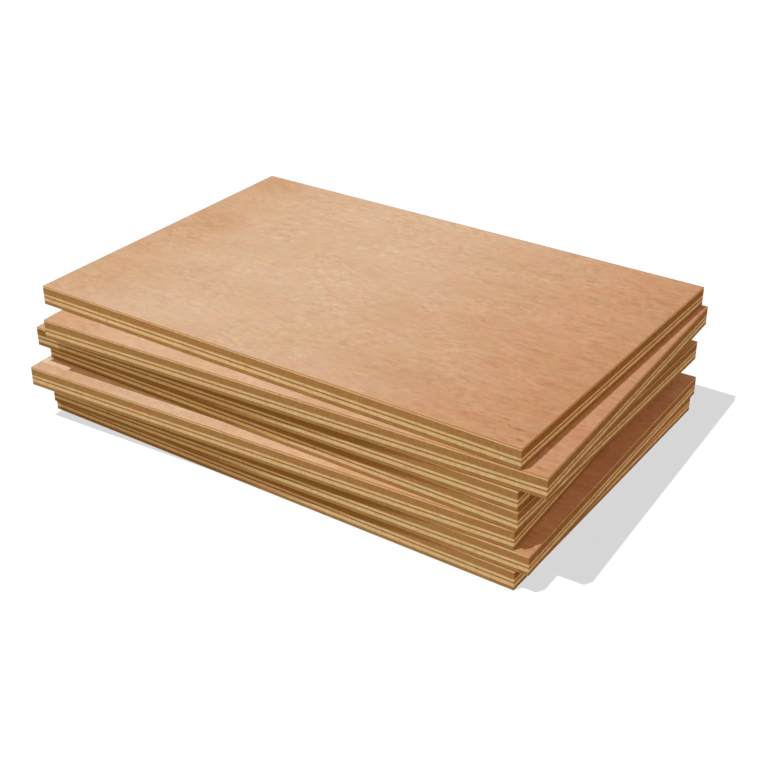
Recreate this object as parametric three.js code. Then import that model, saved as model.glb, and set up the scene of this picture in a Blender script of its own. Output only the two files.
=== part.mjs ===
// A loose stack of plywood sheets, cut to one size and laid flat on the floor,
// each turned and slid a little on the one under it.
//
// Every sheet is a glued lay-up of six plies, which show as bands along its sawn
// edges. A ply is a solid of its own: a rounded outline extruded to the ply's
// thickness, with its arrises eased. A sheet is a group of plies, and the stack
// is a group of sheets.
//
// Millimetres, +Z up. X runs along the sheets, with the grain of their faces, and
// Y across them. The origin is under the middle of the stack, on the floor.
import * as THREE from 'three';

// One sheet, as sawn.
const SHEET_LENGTH = 600;
const SHEET_WIDTH = 405;
const CORNER_RADIUS = 0.8; // the sawn corners, seen from above
const FACE_ARRIS = 0.3; // the edge of the sheet's two outer faces, worn by handling
const PLY_ARRIS = 0.1; // the edge of a ply inside the lay-up

// The plies, from the face down. Each thickness is the ply's own.
const FACE_VENEER = 2.0;
const CROSSBAND = 7.2;
const UPPER_PALE_PLY = 2.7;
const DARK_PLY = 1.6;
const LOWER_PALE_PLY = 3.8;
const BACK_PLY = 4.0;
const GLUE_LINE = 0.1; // between one ply and the next

// The stack, from the floor up: how far each sheet's middle lies along and across
// from the lowest sheet's, and its turn in degrees, seen from above.
const REST_GAP = 0.3; // between a sheet and the one that it rests on
const LAID_SHEETS = [
  { along: 0, across: 0, turn: 0 },
  { along: 8.8, across: -6.9, turn: 1.5 },
  { along: -12.8, across: -13.8, turn: 2.85 },
  { along: 0, across: 0.5, turn: 0 },
  { along: -6.2, across: -6.5, turn: 1.4 },
  { along: 16.6, across: -11.9, turn: 2.85 },
  { along: -0.5, across: 1.8, turn: 0 },
];

const faceWood = new THREE.MeshStandardMaterial({ color: '#d8af8a', roughness: 0.62, metalness: 0 });
const brownWood = new THREE.MeshStandardMaterial({ color: '#9c7040', roughness: 0.75, metalness: 0 });
const paleWood = new THREE.MeshStandardMaterial({ color: '#d4ad7b', roughness: 0.7, metalness: 0 });
const darkWood = new THREE.MeshStandardMaterial({ color: '#84622e', roughness: 0.8, metalness: 0 });

// The lay-up of every sheet, from its back up to its face.
const LAY_UP = [
  { name: 'back_ply', thickness: BACK_PLY, arris: FACE_ARRIS, wood: brownWood },
  { name: 'lower_pale_ply', thickness: LOWER_PALE_PLY, arris: PLY_ARRIS, wood: paleWood },
  { name: 'dark_ply', thickness: DARK_PLY, arris: PLY_ARRIS, wood: darkWood },
  { name: 'upper_pale_ply', thickness: UPPER_PALE_PLY, arris: PLY_ARRIS, wood: paleWood },
  { name: 'crossband', thickness: CROSSBAND, arris: PLY_ARRIS, wood: brownWood },
  { name: 'face_veneer', thickness: FACE_VENEER, arris: FACE_ARRIS, wood: faceWood },
];

// The sheet's outline from above: a rectangle with its four corners rounded.
function sheetOutline() {
  const cornerX = SHEET_LENGTH / 2 - CORNER_RADIUS;
  const cornerY = SHEET_WIDTH / 2 - CORNER_RADIUS;
  const quarter = Math.PI / 2;
  const outline = new THREE.Shape();
  outline.absarc(cornerX, -cornerY, CORNER_RADIUS, -quarter, 0);
  outline.absarc(cornerX, cornerY, CORNER_RADIUS, 0, quarter);
  outline.absarc(-cornerX, cornerY, CORNER_RADIUS, quarter, 2 * quarter);
  outline.absarc(-cornerX, -cornerY, CORNER_RADIUS, 2 * quarter, 3 * quarter);
  return outline;
}

// One ply with its underside at z = 0. The arris is taken off inside the outline,
// so that every ply is as long and as wide as the sheet.
function plyGeometry({ thickness, arris }) {
  const geometry = new THREE.ExtrudeGeometry(sheetOutline(), {
    depth: thickness - 2 * arris,
    curveSegments: 2,
    bevelThickness: arris,
    bevelSize: arris,
    bevelOffset: -arris,
    bevelSegments: 1,
  });
  geometry.translate(0, 0, arris);
  return geometry;
}

// One sheet with its underside at z = 0: the plies piled up, a glue line apart.
function makeSheet(name) {
  const sheet = new THREE.Group();
  let height = 0;
  for (const ply of LAY_UP) {
    const mesh = new THREE.Mesh(plyGeometry(ply), ply.wood);
    mesh.name = `${name}_${ply.name}`;
    mesh.position.z = height;
    sheet.add(mesh);
    height += ply.thickness + GLUE_LINE;
  }
  return sheet;
}

function sheetThickness() {
  const wood = LAY_UP.reduce((sum, ply) => sum + ply.thickness, 0);
  return wood + GLUE_LINE * (LAY_UP.length - 1);
}

// The sheets laid one on another, then centred over the origin.
function makeStack() {
  const stack = new THREE.Group();
  LAID_SHEETS.forEach(({ along, across, turn }, level) => {
    const sheet = makeSheet(`sheet_${level + 1}`);
    sheet.position.set(along, across, level * (sheetThickness() + REST_GAP));
    sheet.rotation.z = THREE.MathUtils.degToRad(turn);
    stack.add(sheet);
  });
  const centre = new THREE.Box3().setFromObject(stack, true).getCenter(new THREE.Vector3());
  stack.position.set(-centre.x, -centre.y, 0);
  return stack;
}

const model = new THREE.Group();
model.add(makeStack());

export default model;
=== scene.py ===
"""The looks of a loose stack of plywood sheets: wood for every ply, a pale floor, a sun and a sky.

Metres, +Z up, in the model's own frame: X runs along the sheets and Y across them.
"""

import math

import bpy
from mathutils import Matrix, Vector


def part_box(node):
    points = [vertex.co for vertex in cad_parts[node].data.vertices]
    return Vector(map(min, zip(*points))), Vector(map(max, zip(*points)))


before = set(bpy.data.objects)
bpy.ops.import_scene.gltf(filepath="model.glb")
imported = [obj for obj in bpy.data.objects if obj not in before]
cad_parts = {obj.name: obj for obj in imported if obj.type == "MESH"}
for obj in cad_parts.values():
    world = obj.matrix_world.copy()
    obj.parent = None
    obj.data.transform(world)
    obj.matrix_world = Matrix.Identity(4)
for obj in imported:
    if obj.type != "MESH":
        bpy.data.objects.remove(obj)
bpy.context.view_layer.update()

# --- Camera and lights ---------------------------------------------------------------

CAMERA_AT = (0.7859, -1.1208, 0.8097)
CAMERA_AZIMUTH = 34.277  # degrees, from looking along +Y towards -X
CAMERA_TILT = 29.363  # degrees below the horizon
CAMERA_LENS = 65.42  # mm, on the 36 mm sensor
SENSOR = 36.0

SUN_TRAVEL = (0.219, 0.378, -1.0)  # the way its light falls
SUN_COLOUR = (0.69, 0.84, 1.0)
SUN_POWER = 2.70
SUN_ANGLE = 0.7  # degrees across, for nearly crisp shadows

# Broad patches of warm light: before the long edges, before the short ones and behind.
FRONT_GLOW = {"towards": (0.0, -0.866, 0.5), "light": (1.01, 0.88, 0.62)}
SIDE_GLOW = {"towards": (0.866, 0.0, 0.5), "light": (0.85, 0.62, 0.475)}
BACK_GLOW = {"towards": (-0.3, 0.85, 0.43), "light": (0.18, 0.14, 0.10)}
GLOW_REACH = 0.5  # cosine at which a patch has faded out
FLOOR_BOUNCE = (0.45, 0.28, 0.18)  # light from the floor, warm from the wood on it
WHITE = (1.0, 1.0, 1.0)
BLACK = (0.0, 0.0, 0.0)

FLOOR_SIZE = 12.0
FLOOR_SHADE = 0.672  # what the camera sees of it in the shadow, where white is 1
FLOOR_LIFT = 0.36  # what the sun adds to that
SUN_CONE = 9.0  # degrees: the floor takes light from this close to the sun, for an even shadow

# --- Shader trees ----------------------------------------------------------------------


def linear(colour):
    """The linear red, green and blue of a colour written as #rrggbb."""
    channels = [int(colour[at : at + 2], 16) / 255 for at in (1, 3, 5)]
    return [c / 12.92 if c <= 0.04045 else ((c + 0.055) / 1.055) ** 2.4 for c in channels]


class Value:
    """A node's output. Python's operators on it add the Math nodes that work the sum out."""

    def __init__(self, shader, socket):
        self.shader = shader
        self.socket = socket

    def __add__(self, other):
        return self.shader.maths("ADD", self, other)

    def __sub__(self, other):
        return self.shader.maths("SUBTRACT", self, other)

    def __rsub__(self, other):
        return self.shader.maths("SUBTRACT", other, self)

    def __mul__(self, other):
        return self.shader.maths("MULTIPLY", self, other)

    def __truediv__(self, other):
        return self.shader.maths("DIVIDE", self, other)

    def __pow__(self, other):
        return self.shader.maths("POWER", self, other)

    def __gt__(self, other):
        return self.shader.maths("GREATER_THAN", self, other)

    def __abs__(self):
        return self.shader.maths("ABSOLUTE", self)

    __radd__ = __add__
    __rmul__ = __mul__


class Shader:
    """The node tree of one material or world."""

    def __init__(self, owner):
        owner.use_nodes = True
        self.tree = owner.node_tree
        self.tree.nodes.clear()

    def node(self, kind, settings=None, inputs=None, output=0):
        """Adds a node: its settings first, then its inputs, each a value or a link."""
        made = self.tree.nodes.new(kind)
        for name, value in (settings or {}).items():
            setattr(made, name, value)
        for name, value in (inputs or {}).items():
            socket = self.find(made.inputs, name)
            if isinstance(value, Value):
                self.tree.links.new(value.socket, socket)
            elif socket.type == "RGBA":
                socket.default_value = (*value, 1.0)
            else:
                socket.default_value = value
        return Value(self, self.find(made.outputs, output)) if made.outputs else None

    @staticmethod
    def find(sockets, name):
        if isinstance(name, int):
            return sockets[name]
        return next(s for s in sockets if name in (s.identifier, s.name))

    def maths(self, operation, first, second=0.0):
        return self.node("ShaderNodeMath", {"operation": operation}, {0: first, 1: second})

    def smooth(self, value, low, high):
        """0 at low, 1 at high and smooth between; it falls where high is the smaller."""
        return self.node(
            "ShaderNodeMapRange",
            {"interpolation_type": "SMOOTHSTEP"},
            {"Value": value, "From Min": low, "From Max": high},
        )

    def mix(self, first, second, factor):
        """The colour that lies factor of the way from the first to the second."""
        return self.node(
            "ShaderNodeMix",
            {"data_type": "RGBA"},
            {"Factor_Float": factor, "A_Color": first, "B_Color": second},
            "Result_Color",
        )

    def vectors(self, operation, first, second, output=0):
        return self.node(
            "ShaderNodeVectorMath", {"operation": operation}, {0: first, 1: second}, output
        )

    def noise(self, point, scale, detail=2.0, roughness=0.5, output="Fac"):
        return self.node(
            "ShaderNodeTexNoise",
            {},
            {"Vector": point, "Scale": scale, "Detail": detail, "Roughness": roughness},
            output,
        )

    def parts(self, vector):
        """The X, Y and Z of a vector."""
        first = self.node("ShaderNodeSeparateXYZ", {}, {"Vector": vector})
        return [Value(self, socket) for socket in first.socket.node.outputs]


# --- The plies ---------------------------------------------------------------------------

LONG, ACROSS = "along", "across"  # the way that a ply's grain runs in its sheet

# Every ply: its colour where the saw cut it along the sheet and where it cut across the sheet, and
# the way that its grain runs. The end colours were set to the ends' look in shade, so they hold
# painted shade as well as the wood's own end colour.
PLIES = {
    # The face veneer's pale side colour is partly its own and partly a painted highlight along the
    # sunlit arris.
    "face_veneer": {"side": "#fadab0", "end": "#dcb283", "grain": LONG},
    "crossband": {"side": "#9e733c", "end": "#976829", "grain": ACROSS},
    "upper_pale_ply": {"side": "#ddbf8f", "end": "#e1c496", "grain": LONG},
    "dark_ply": {"side": "#966b2b", "end": "#8e5203", "grain": LONG},
    "lower_pale_ply": {"side": "#dec191", "end": "#e3c899", "grain": ACROSS},
    "back_ply": {"side": "#9b723b", "end": "#9c7134", "grain": LONG},
}

# Tints that a colour is multiplied by.
PLAIN = (1.0, 1.0, 1.0)
PAINTED_SHADE_BROWN = (0.87, 0.82, 0.56)
PAINTED_LIGHT_BROWN = (1.165, 1.24, 1.50)
PAINTED_SHADE_PALE = (0.90, 0.89, 0.86)
# Painted shade and light on the long sides: the plies are painted darker at the -X end of a long
# side, where the sheets above shade it, and lighter towards its other end, where the sun reaches
# it. Each turns at its own place along the sheet, and in the sheets whose long side the sun lights
# all along, the whole side is painted light.
SHADE_TO_LIGHT_TURNS = {
    "crossband": (0.15, PAINTED_SHADE_BROWN, PAINTED_LIGHT_BROWN),
    "upper_pale_ply": (0.09, PAINTED_SHADE_PALE, PLAIN),
    "dark_ply": (0.07, PAINTED_SHADE_BROWN, PAINTED_LIGHT_BROWN),
    "lower_pale_ply": (-0.01, PAINTED_SHADE_PALE, PLAIN),
    "back_ply": (-0.05, PAINTED_SHADE_BROWN, PAINTED_LIGHT_BROWN),
}
TURN_WIDTH = 0.10
SUNLIT_SIDE_SHEETS = (3, 6, 7)
END_PAINTED_SHADE = (0.88, 0.74, 0.36)  # painted shade on the crossband near the -X end of the other sheets
END_SHADE_BEGINS = (-0.284, -0.290)
END_SHADE_FADES = (-0.26, -0.10)

# The sawn edges. A pair of tints stands for the lowest and the highest of a noise, and a pair of
# distances for where a change starts and where it is complete.
BRUISES = ((0.89, 0.86, 0.77), (1.11, 1.14, 1.23))
FIBRES = ((0.93, 0.91, 0.85), (1.07, 1.09, 1.15))
NOTCH = (0.72, 0.66, 0.56)

# The rim of the face veneer, from the face down to the brown ply under it.
RIM_LEFT = (1.05, 1.07, 1.06)
RIM_RIGHT = (0.877, 0.765, 0.60)
RIM_REDDENS = (-0.30, 0.20)  # along the sheet
RIM_BACK = (1.32, 1.45, 1.63)
RIM_PALES = (-0.15, 0.25)  # across the sheet, on its ends
RIM_TOP_LEFT = (0.48, 0.45, 0.41)  # just under the face: darker towards -X, and a painted highlight towards +X and on the ends
RIM_HIGHLIGHT_RIGHT = (0.96, 1.11, 1.38)
RIM_HIGHLIGHT_END = (1.0, 1.13, 1.36)
RIM_TOP_FADES = (0.0003, 0.0014)  # below the face
RIM_BROWN = "#a5733a"
RIM_BROWNS = (0.0008, 0.0027)

# The face.
FACE_LEFT = "#d6a881"  # at its -X end, in its middle and at its +X end
FACE_MIDDLE = "#dcb390"
FACE_RIGHT = "#cc956c"
LEFT_TO_MIDDLE = (-0.29, -0.17)
MIDDLE_TO_RIGHT = (-0.09, 0.33)
# Face tints of some sheets: sheet 3's face is paler than the others' faces; the tints of sheets 2
# and 4, whose faces show mostly in shade, are painted light, brighter on sheet 2 and more olive on
# sheet 4.
FACE_TONES_AND_PAINTED_LIGHT = {2: (1.14, 1.20, 1.28), 3: (1.09, 1.10, 1.10), 4: (1.20, 1.38, 1.0)}
# And painted paler yet, as painted light in the shade that the sheets above cast on it: how far in
# that starts from its -Y side.
PAINTED_LIGHT_FROM = {3: 0.0150}
PAINTED_LIGHT_TINT = (1.20, 1.34, 1.46)
PAINTED_LIGHT_BLENDS = 0.0020  # over this width
HANDLED = (0.95, 0.94, 0.94)
HANDLED_FROM = (0.24, 0.30)
CLOUDS = ((0.980, 0.960, 0.930), (1.015, 1.036, 1.060))
FLECKS = ((0.930, 0.892, 0.855), (1.070, 1.110, 1.150))
STREAKS = ((0.915, 0.870, 0.81), (1.065, 1.095, 1.12))
BLOTCH = (0.92, 0.81, 0.74)
PORE = (0.92, 0.89, 0.86)
# Soft brown stains: the sheets that have one there, its middle along and across the sheet, how far
# it reaches and its tint. The last takes back the painted light of sheet 2's face tint where the
# sun lights its front corner.
EVERY_SHEET = range(1, 8)
BROWNED = (0.955, 0.90, 0.83)
STAINS_AND_PAINTED_LIGHT = (
    (EVERY_SHEET, -0.250, 0.045, 0.040, BROWNED),
    (EVERY_SHEET, -0.280, 0.190, 0.055, BROWNED),
    (EVERY_SHEET, -0.285, -0.060, 0.030, BROWNED),
    # Sheet 2's: takes its painted face light back where the sun lights its front corner.
    ((2,), 0.290, -0.190, 0.040, (0.83, 0.79, 0.70)),
)
# Dark wavy streaks, broken into short ones and each with a paler line beside it: the middle of
# each along and across the sheet, and half its length.
CURLS = (
    (0.262, -0.1650, 0.036),
    (0.271, -0.1725, 0.030),
    (0.281, -0.1905, 0.026),
)
CURL_WAVE = 0.0012
CURL_DARK, DARK_WIDTH = (0.74, 0.60, 0.50), 0.0026
CURL_PALE, PALE_WIDTH, PALE_OFFSET = (1.08, 1.11, 1.14), 0.0022, 0.0040

# The face is rubbed paler near its long sides, and a darker border runs along its very edge.
RUBBED = (1.04, 1.05, 1.03)
RUBBED_FROM = (0.0050, 0.0028)  # from the edge
BORDER = "#b17a43"
END_BORDER = "#9e6a38"
FAINT_BORDERS = {2: 0.3}  # how much of the dark border a sheet keeps, where it is fainter
BORDER_DRIFT = 0.0022  # how much farther in the dark border reaches for every metre towards +X
BORDER_FROM = (0.0026, 0.0007)  # from the edge
END_NARROWING = 1.5  # the dark border reaches less far in from the ends
CHIPPING = 0.0006  # how far its inner line wanders

PALEST_WOOD = (0.95, 0.95, 0.95)  # no wood sends back more of the light than this
FACE_ROUGHNESS = 0.76  # of the lowest wood, where fibres are torn out
EDGE_ROUGHNESS = 0.92
ROUGHNESS_FALL = 0.14  # and how much less where the fibres stand highest
FIBRE_DEPTH = 0.00012
SHINE = 0.25


class Sheet:
    """Where one sheet lies: its middle, its turn, its size and the height of its underside."""

    def __init__(self, number, length, width):
        self.number = number
        self.half_length = length / 2
        self.half_width = width / 2
        low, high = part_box(f"sheet_{number}_back_ply")
        spread = high - low
        self.middle = (low + high) / 2
        self.base = low.z
        self.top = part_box(f"sheet_{number}_face_veneer")[1].z - low.z
        # The box of a turned rectangle gives the sine and cosine of its turn.
        scale = length**2 - width**2
        cosine = (length * spread.x - width * spread.y) / scale
        sine = (length * spread.y - width * spread.x) / scale
        self.turn = math.atan2(sine, cosine)


def read_sheets():
    """Every sheet, floor up. The lowest lies square, so its box has a sheet's size."""
    low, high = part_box("sheet_1_back_ply")
    count = len(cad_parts) // len(PLIES)
    return [Sheet(i + 1, high.x - low.x, high.y - low.y) for i in range(count)]


class Wood(Shader):
    """One ply's wood, worked out in the sheet's own frame so that its grain turns with it."""

    def __init__(self, sheet, ply):
        self.sheet = sheet
        self.ply = ply
        self.material = bpy.data.materials.new(f"{ply}_wood_{sheet.number}")
        super().__init__(self.material)
        point = self.node("ShaderNodeTexCoord", output="Object")
        point = self.seen_from_sheet(point, (sheet.middle.x, sheet.middle.y, sheet.base))
        self.along, self.across, self.up = self.parts(point)
        facing = self.node("ShaderNodeNewGeometry", output="True Normal")
        facing = self.seen_from_sheet(facing, (0.0, 0.0, 0.0))
        facing_along, _, self.facing_up = self.parts(facing)
        self.on_end = abs(facing_along) > 0.7
        # Each sheet's plies come from another part of the log.
        log_place = (0.37 * sheet.number, 1.91 * sheet.number, 0.0)
        self.log_point = self.vectors("ADD", point, log_place)

    def seen_from_sheet(self, value, origin):
        """A point or a direction of the model's frame, in the sheet's frame."""
        place = {"Location": origin, "Rotation": (0.0, 0.0, self.sheet.turn)}
        return self.node(
            "ShaderNodeMapping", {"vector_type": "TEXTURE"}, {"Vector": value, **place}
        )

    def grain(self, long, fine, detail=2.0, roughness=0.5):
        """Noise drawn out along the grain: its two scales are along it and across it."""
        lengthwise = PLIES[self.ply]["grain"] == LONG
        stretch = (long, fine, fine) if lengthwise else (fine, long, fine)
        return self.noise(self.vectors("MULTIPLY", self.log_point, stretch), 1.0, detail, roughness)

    def toned(self, colour, low, high, share):
        """The colour times a tint that runs from low to high as the share goes from 0 to 1."""
        return self.vectors("MULTIPLY", colour, self.mix(low, high, share))

    def varied(self, colour, tints, noise, spread, strength=1.0):
        """The colour times the first tint where the noise is low, and the second where high."""
        share = self.smooth(noise, 0.5 - spread, 0.5 + spread) - 0.5
        return self.toned(colour, *tints, 0.5 + share * strength)

    def mottled(self, colour, scale, amount):
        """The colour with its red, green and blue each varied by itself."""
        hues = self.noise(self.log_point, scale, 3.0, output="Color")
        hues = self.vectors("MULTIPLY", hues, (amount,) * 3)
        return self.vectors("MULTIPLY", colour, self.vectors("ADD", hues, (1 - amount / 2,) * 3))

    def finish(self, colour, height, roughness):
        """The ply's material: lower wood is rougher, because the saw tore it."""
        bump = self.node(
            "ShaderNodeBump", {}, {"Strength": 0.6, "Distance": FIBRE_DEPTH, "Height": height}
        )
        surface = self.node(
            "ShaderNodeBsdfPrincipled",
            {},
            {
                "Base Color": self.vectors("MINIMUM", colour, PALEST_WOOD),
                "Roughness": roughness - ROUGHNESS_FALL * height,
                "Specular IOR Level": SHINE,
                "Normal": bump,
            },
        )
        self.node("ShaderNodeOutputMaterial", {}, {"Surface": surface})
        return self.material


# --- The sawn edges ------------------------------------------------------------------------


def long_side(wood):
    """The ply's colour in the long sides, with painted shade towards -X and painted light towards
    +X.
    """
    colour = linear(PLIES[wood.ply]["side"])
    if wood.ply not in SHADE_TO_LIGHT_TURNS:
        return colour
    turn, shade_tint, lit_tint = SHADE_TO_LIGHT_TURNS[wood.ply]
    # A long side that the sun lights all along is painted light all along.
    if wood.sheet.number in SUNLIT_SIDE_SHEETS:
        return wood.vectors("MULTIPLY", colour, lit_tint)
    if wood.ply == "crossband":
        # Deeper painted shade on the crossband towards the -X end, lifted again at its very end,
        # which the sun reaches.
        unshaded_share = wood.smooth(wood.along, *END_SHADE_FADES) + wood.smooth(wood.along, *END_SHADE_BEGINS)
        colour = wood.toned(colour, END_PAINTED_SHADE, PLAIN, unshaded_share)
    # Painted shade towards -X, turning into painted light towards +X.
    lit_share = wood.smooth(wood.along, turn - TURN_WIDTH / 2, turn + TURN_WIDTH / 2)
    return wood.toned(colour, shade_tint, lit_tint, lit_share)


def sawn_edge(wood):
    """The colour of a ply in the sawn edges, and how high its torn fibres stand."""
    colour = wood.mix(long_side(wood), linear(PLIES[wood.ply]["end"]), wood.on_end)
    colour = wood.mottled(colour, 70.0, 0.16)
    # The saw bruised the fibres every few millimetres, most of all on the ends.
    bruises = wood.noise(wood.log_point, 210.0, 3.0, 0.7)
    colour = wood.varied(colour, BRUISES, bruises, 0.18, 0.48 + 0.72 * wood.on_end)
    fibres = wood.grain(45.0, 700.0)
    colour = wood.varied(colour, FIBRES, fibres, 0.20)
    # Here and there a splinter has come away and left a dark notch.
    notches = wood.smooth(wood.grain(110.0, 260.0, 1.0), 0.69, 0.77)
    colour = wood.toned(colour, PLAIN, NOTCH, notches)
    saw_point = wood.vectors("MULTIPLY", wood.log_point, (900.0, 900.0, 40.0))
    saw_marks = wood.noise(saw_point, 1.0, 1.0)
    return colour, fibres + bruises * 0.6 + saw_marks * 0.5 - notches * 0.8


def rim_wood(wood):
    """The face veneer in the sawn edges: pale under the face, with a painted highlight along its
    top, brown where it meets the next ply.
    """
    colour, height = sawn_edge(wood)
    # It reddens towards the +X end, as the face does, and less so towards +Y on the ends.
    rightward = wood.smooth(wood.along, *RIM_REDDENS)
    colour = wood.toned(colour, RIM_LEFT, RIM_RIGHT, rightward)
    paled = wood.smooth(wood.across, *RIM_PALES) * wood.on_end
    colour = wood.toned(colour, PLAIN, RIM_BACK, paled)
    # Just under the face: darker towards -X, and a painted highlight towards +X and on the ends.
    top_tint_and_highlight = wood.mix(RIM_TOP_LEFT, RIM_HIGHLIGHT_RIGHT, rightward)
    top_tint_and_highlight = wood.mix(top_tint_and_highlight, RIM_HIGHLIGHT_END, wood.on_end)
    depth = wood.sheet.top - wood.up
    colour = wood.toned(colour, top_tint_and_highlight, PLAIN, wood.smooth(depth, *RIM_TOP_FADES))
    return wood.mix(colour, linear(RIM_BROWN), wood.smooth(depth, *RIM_BROWNS)), height


def ply_wood(sheet, ply):
    wood = Wood(sheet, ply)
    return wood.finish(*sawn_edge(wood), EDGE_ROUGHNESS)


# --- The face ------------------------------------------------------------------------------


def face_figure(wood):
    """The face's colour and its height."""
    along, across = wood.along, wood.across
    rightward = wood.smooth(along, *MIDDLE_TO_RIGHT)
    colour = wood.mix(linear(FACE_LEFT), linear(FACE_MIDDLE), wood.smooth(along, *LEFT_TO_MIDDLE))
    colour = wood.mix(colour, linear(FACE_RIGHT), rightward)
    colour = wood.toned(colour, PLAIN, HANDLED, wood.smooth(along, *HANDLED_FROM))
    # Broad soft clouds, some orange and some paler and cooler, and smaller patches in them.
    clouds = wood.grain(9.0, 17.0)
    colour = wood.varied(colour, CLOUDS, clouds, 0.16)
    colour = wood.mottled(colour, 60.0, 0.18)
    # Stains, and on sheet 2 a darkening that takes its painted face light back where the sun lights
    # it.
    for sheets, place, offset, reach, tint in STAINS_AND_PAINTED_LIGHT:
        if wood.sheet.number in sheets:
            away = ((along - place) / reach) ** 2.0 + ((across - offset) / reach) ** 2.0
            colour = wood.toned(colour, tint, PLAIN, wood.smooth(away + clouds, 0.4, 1.6))
    # Flecks of a few millimetres, stronger in some places than in others.
    crowd = wood.smooth(wood.noise(wood.log_point, 24.0), 0.38, 0.64)
    flecks = wood.grain(105.0, 165.0, 3.0, 0.7)
    colour = wood.varied(colour, FLECKS, flecks, 0.22, 0.35 + 0.85 * crowd)
    # Wavy streaks along the grain, growing stronger towards the +X end.
    waves = wood.noise(wood.log_point, 9.0)
    streak_at = wood.node(
        "ShaderNodeCombineXYZ",
        {},
        {"X": along * 24.0, "Y": across * 165.0 + waves * 9.0, "Z": 3.7 * wood.sheet.number},
    )
    streaks = wood.noise(streak_at, 1.0, 3.0, 0.6)
    colour = wood.varied(colour, STREAKS, streaks, 0.21, 0.14 + 0.43 * rightward)
    # Rusty blotches gather towards the same end.
    blotches = wood.smooth(wood.grain(55.0, 110.0, roughness=0.6), 0.54, 0.70)
    colour = wood.toned(colour, PLAIN, BLOTCH, blotches * (0.1 + 0.68 * rightward))
    colour = curled(wood, colour, streaks)
    # Fine pores lie open along the grain.
    pores = wood.smooth(wood.grain(70.0, 900.0, 1.0), 0.56, 0.68)
    colour = wood.toned(colour, PLAIN, PORE, pores * (1 - 0.4 * rightward))
    return colour, flecks + streaks * 0.5 - pores * 0.6


def curled(wood, colour, streaks):
    """The colour with the few dark wavy streaks that cross the +X end."""
    breaks = wood.smooth(wood.noise(wood.log_point, 105.0, 3.0, 0.6), 0.42, 0.60)
    for place, offset, reach in CURLS:
        wave = wood.maths("SINE", wood.along * 110.0 + place * 900.0) * CURL_WAVE
        beyond = ((wood.along - place) / reach) ** 2.0
        aside = wood.across - offset - wave + (streaks - 0.5) * 0.004
        dark = wood.smooth(beyond + (aside / DARK_WIDTH) ** 2.0, 1.0, 0.0)
        pale = wood.smooth(beyond + ((aside - PALE_OFFSET) / PALE_WIDTH) ** 2.0, 1.0, 0.0)
        colour = wood.toned(colour, PLAIN, CURL_DARK, dark * breaks)
        colour = wood.toned(colour, PLAIN, CURL_PALE, pale * breaks)
    return colour


def face_wood(sheet):
    """The face veneer: its top is the sheet's face, and its rim shows in the sawn edges."""
    wood = Wood(sheet, "face_veneer")
    rim, rim_height = rim_wood(wood)
    face, face_height = face_figure(wood)
    to_end = sheet.half_length - abs(wood.along)
    to_side = sheet.half_width - abs(wood.across)
    # Sheet 3's paler tone, and painted light on the shaded faces of sheets 2 and 4.
    tint = FACE_TONES_AND_PAINTED_LIGHT.get(sheet.number, PLAIN)
    rubbed_tint = [a * b for a, b in zip(tint, RUBBED)]
    face = wood.toned(face, tint, rubbed_tint, wood.smooth(to_side, *RUBBED_FROM))
    # Painted light on sheet 3's face, in the shade beside the sheets above it.
    if sheet.number in PAINTED_LIGHT_FROM:
        from_front = wood.across + (sheet.half_width - PAINTED_LIGHT_FROM[sheet.number])
        face = wood.toned(face, PLAIN, PAINTED_LIGHT_TINT, wood.smooth(from_front, 0.0, PAINTED_LIGHT_BLENDS))
    drifted = to_side - wood.along * BORDER_DRIFT
    to_edge = wood.maths("MINIMUM", to_end * END_NARROWING, drifted)
    chipped = wood.noise(wood.log_point, 160.0) * CHIPPING
    border_share = wood.smooth(to_edge + chipped, *BORDER_FROM) * FAINT_BORDERS.get(sheet.number, 1.0)
    border = wood.mix(linear(BORDER), linear(END_BORDER), to_side > to_end)
    face = wood.mix(face, border, border_share)
    on_top = wood.facing_up > 0.5
    height = rim_height + (face_height - rim_height) * on_top
    return wood.finish(wood.mix(rim, face, on_top), height, FACE_ROUGHNESS)


def dress_plies():
    for sheet in read_sheets():
        for ply in PLIES:
            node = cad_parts[f"sheet_{sheet.number}_{ply}"]
            material = face_wood(sheet) if ply == "face_veneer" else ply_wood(sheet, ply)
            node.data.materials.clear()
            node.data.materials.append(material)


# --- The room ------------------------------------------------------------------------------


def seen_directly(shader):
    """1 for what the camera, a mirror or glass sees, and 0 for light on its way."""
    rays = shader.node("ShaderNodeLightPath").socket.node.outputs
    camera, glossy, through = (
        Value(shader, rays[name])
        for name in ("Is Camera Ray", "Is Glossy Ray", "Is Transmission Ray")
    )
    return shader.node("ShaderNodeClamp", {}, {"Value": camera + glossy + through})


def glow(shader, direction, patch):
    """A patch of the sky's light, brightest in one direction."""
    facing = shader.vectors("DOT_PRODUCT", direction, patch["towards"], "Value")
    return shader.mix(BLACK, patch["light"], shader.smooth(facing, GLOW_REACH, 1.0))


def make_sky():
    world = bpy.data.worlds.new("sky")
    bpy.context.scene.world = world
    shader = Shader(world)
    direction = shader.node("ShaderNodeTexCoord", output="Generated")
    room = glow(shader, direction, FRONT_GLOW)
    for patch in (SIDE_GLOW, BACK_GLOW):
        room = shader.vectors("ADD", room, glow(shader, direction, patch))
    colour = shader.mix(room, WHITE, seen_directly(shader))
    light = shader.node("ShaderNodeBackground", {}, {"Color": colour})
    shader.node("ShaderNodeOutputWorld", {}, {"Surface": light})


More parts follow.
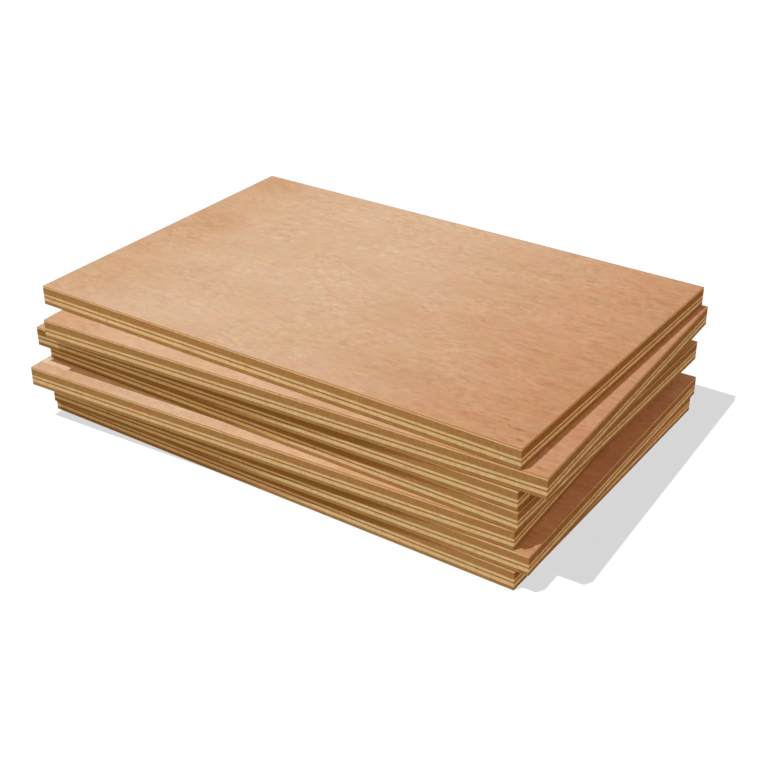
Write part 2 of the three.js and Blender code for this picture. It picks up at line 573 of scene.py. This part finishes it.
def make_floor():
    half = FLOOR_SIZE / 2
    mesh = bpy.data.meshes.new("floor")
    corners = [(-half, -half, 0), (half, -half, 0), (half, half, 0), (-half, half, 0)]
    mesh.from_pydata(corners, [], [(0, 1, 2, 3)])
    floor = bpy.data.objects.new("floor", mesh)
    bpy.context.scene.collection.objects.link(floor)
    material = bpy.data.materials.new("pale_floor")
    shader = Shader(material)
    shade = shader.node("ShaderNodeEmission", {}, {"Color": [FLOOR_SHADE] * 3})
    towards = -Vector(SUN_TRAVEL).normalized()
    to_sun = shader.node(
        "ShaderNodeCombineXYZ", {}, {"X": towards.x, "Y": towards.y, "Z": towards.z}
    )
    cone = 2 * math.pi * (1 - math.cos(math.radians(SUN_CONE)))
    lift = [FLOOR_LIFT * cone / (SUN_POWER * channel) for channel in SUN_COLOUR]
    lit = shader.node(
        "ShaderNodeBsdfToon",
        {"component": "DIFFUSE"},
        {"Color": lift, "Size": SUN_CONE / 90, "Smooth": 0.0, "Normal": to_sun},
    )
    seen = shader.node("ShaderNodeAddShader", {}, {0: shade, 1: lit})
    bounce = shader.node("ShaderNodeEmission", {}, {"Color": FLOOR_BOUNCE})
    both = shader.node("ShaderNodeMixShader", {}, {0: seen_directly(shader), 1: bounce, 2: seen})
    shader.node("ShaderNodeOutputMaterial", {}, {"Surface": both})
    mesh.materials.append(material)


def make_sun():
    lamp = bpy.data.lights.new("sun", "SUN")
    lamp.color = SUN_COLOUR
    lamp.energy = SUN_POWER
    lamp.angle = math.radians(SUN_ANGLE)
    sun = bpy.data.objects.new("sun", lamp)
    sun.rotation_euler = Vector(SUN_TRAVEL).to_track_quat("-Z", "Y").to_euler()
    bpy.context.scene.collection.objects.link(sun)


def make_camera():
    lens = bpy.data.cameras.new("camera")
    lens.lens = CAMERA_LENS
    lens.sensor_width = SENSOR
    camera = bpy.data.objects.new("camera", lens)
    camera.location = CAMERA_AT
    tilt = math.radians(90 - CAMERA_TILT)
    camera.rotation_euler = (tilt, 0.0, math.radians(CAMERA_AZIMUTH))
    bpy.context.scene.collection.objects.link(camera)
    bpy.context.scene.camera = camera


bpy.context.scene.view_settings.view_transform = "Standard"
make_camera()
make_sun()
make_sky()
make_floor()
dress_plies()
